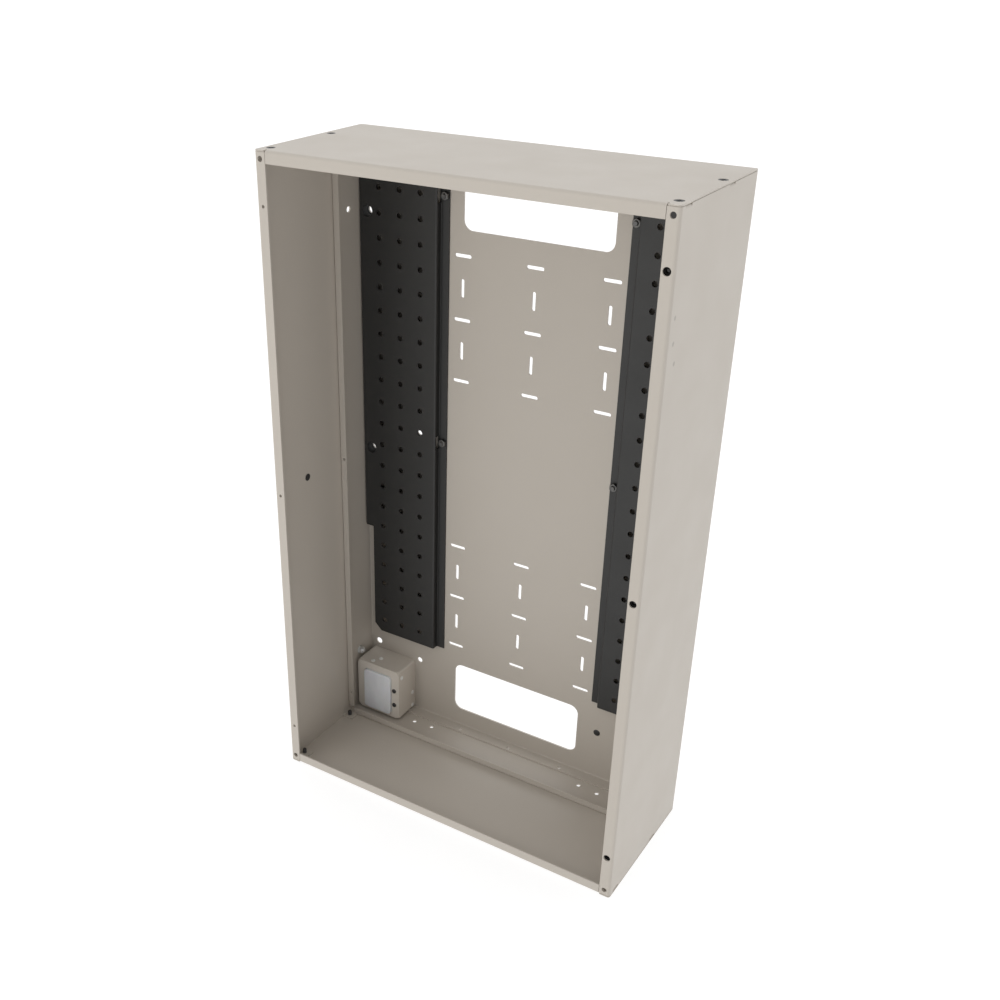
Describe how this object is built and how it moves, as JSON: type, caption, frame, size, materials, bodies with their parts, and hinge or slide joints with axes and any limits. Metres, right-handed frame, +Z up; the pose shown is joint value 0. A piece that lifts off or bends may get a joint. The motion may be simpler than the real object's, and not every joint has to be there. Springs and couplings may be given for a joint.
{
  "type": "subpanel enclosure",
  "caption": "Open-front sheet steel enclosure with perforated device plates, slotted back panel, cable openings and a small junction box.",
  "frame": {"origin": "middle of the underside, at the centre of the box's width and depth", "axes": "+Z up along the height, +Y from the open front to the wall behind, +X to the right when facing the open front"},
  "size_m": [0.362, 0.146, 0.6096],
  "materials": {
    "enclosure_paint": "satin warm light grey powder coat",
    "black_powder_coat": "matt black powder coat",
    "zinc_plate": "bright zinc plating",
    "black_oxide": "black oxide",
    "black_nylon": "matt black nylon",
    "junction_box_paint": "satin warm grey paint",
    "terminal_block_plastic": "matt light blue-grey plastic"
  },
  "bodies": {
    "root": {"enclosure_body": "enclosure_paint", "top_end_plate": "enclosure_paint", "bottom_end_plate": "enclosure_paint", "top_end_screws": "black_oxide", "bottom_end_screws": "black_oxide", "left_ledge": "enclosure_paint", "right_ledge": "enclosure_paint", "top_ledge": "enclosure_paint", "bottom_ledge": "enclosure_paint", "left_device_plate": "black_powder_coat", "right_device_plate": "black_powder_coat", "left_plate_studs": "black_oxide", "right_plate_studs": "black_oxide", "left_plate_nuts": "black_oxide", "right_plate_nuts": "black_oxide", "cover_nuts": "black_oxide", "ground_stud": "zinc_plate", "ground_washer": "zinc_plate", "ground_nut": "zinc_plate", "side_wall_plug": "black_nylon", "back_panel_plug": "black_nylon", "junction_box_body": "junction_box_paint", "junction_box_cover": "junction_box_paint", "terminal_block": "terminal_block_plastic", "junction_box_cover_screws": "black_oxide", "junction_box_rivets": "zinc_plate", "junction_box_mount_screws": "zinc_plate"}
  },
  "joints": []
}
